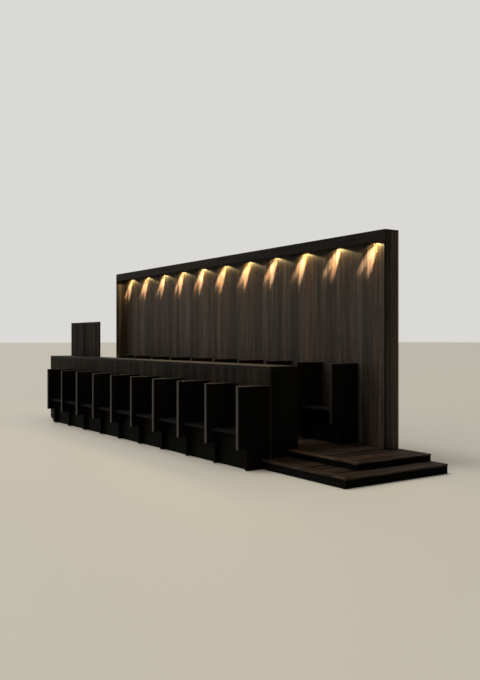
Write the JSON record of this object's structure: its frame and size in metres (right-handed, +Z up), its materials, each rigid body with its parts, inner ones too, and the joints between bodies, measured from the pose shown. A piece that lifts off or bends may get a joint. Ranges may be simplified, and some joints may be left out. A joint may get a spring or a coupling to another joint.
{
  "type": "church choir stalls",
  "caption": "Bank of fixed choir stalls: two rows of divided seats on a stepped platform, a book desk between them, and lit wall panelling behind.",
  "frame": {"origin": "on the floor under the middle of the bank's overall box", "axes": "+X along the bank to the end with the open step, +Y from the front row to the wall, +Z up"},
  "size_m": [8.88, 1.96, 2.915],
  "materials": {
    "dark_oak": "near-black stained oak, open grain, satin oil",
    "platform_oak": "near-black stained oak boards, worn matt",
    "batten_softwood": "plain sawn softwood, dark primed",
    "lamp_metal": "satin black"
  },
  "bodies": {
    "root": {"lower_platform": "platform_oak", "upper_deck": "platform_oak", "front_plinth": "dark_oak", "front_bench": "dark_oak", "front_divider_01": "dark_oak", "front_divider_02": "dark_oak", "front_divider_03": "dark_oak", "front_divider_04": "dark_oak", "front_divider_05": "dark_oak", "front_divider_06": "dark_oak", "front_divider_07": "dark_oak", "front_divider_08": "dark_oak", "front_divider_09": "dark_oak", "front_divider_10": "dark_oak", "desk_front_board": "dark_oak", "desk_top": "dark_oak", "desk_end_near": "dark_oak", "desk_end_far": "dark_oak", "desk_rear_board": "dark_oak", "desk_book_shelf": "dark_oak", "high_screen_far": "dark_oak", "high_screen_near": "dark_oak", "rear_plinth": "dark_oak", "rear_bench": "dark_oak", "rear_divider_01": "dark_oak", "rear_divider_02": "dark_oak", "rear_divider_03": "dark_oak", "rear_divider_04": "dark_oak", "rear_divider_05": "dark_oak", "rear_divider_06": "dark_oak", "rear_divider_07": "dark_oak", "rear_divider_08": "dark_oak", "rear_divider_09": "dark_oak", "rear_divider_10": "dark_oak", "wall_panelling": "dark_oak", "panelling_return_near": "dark_oak", "panelling_return_far": "dark_oak", "return_trim_near": "dark_oak", "return_trim_far": "dark_oak", "cove_fascia": "dark_oak", "cove_top": "dark_oak", "back_frame": "batten_softwood", "lamp_row": "lamp_metal"}
  },
  "joints": []
}
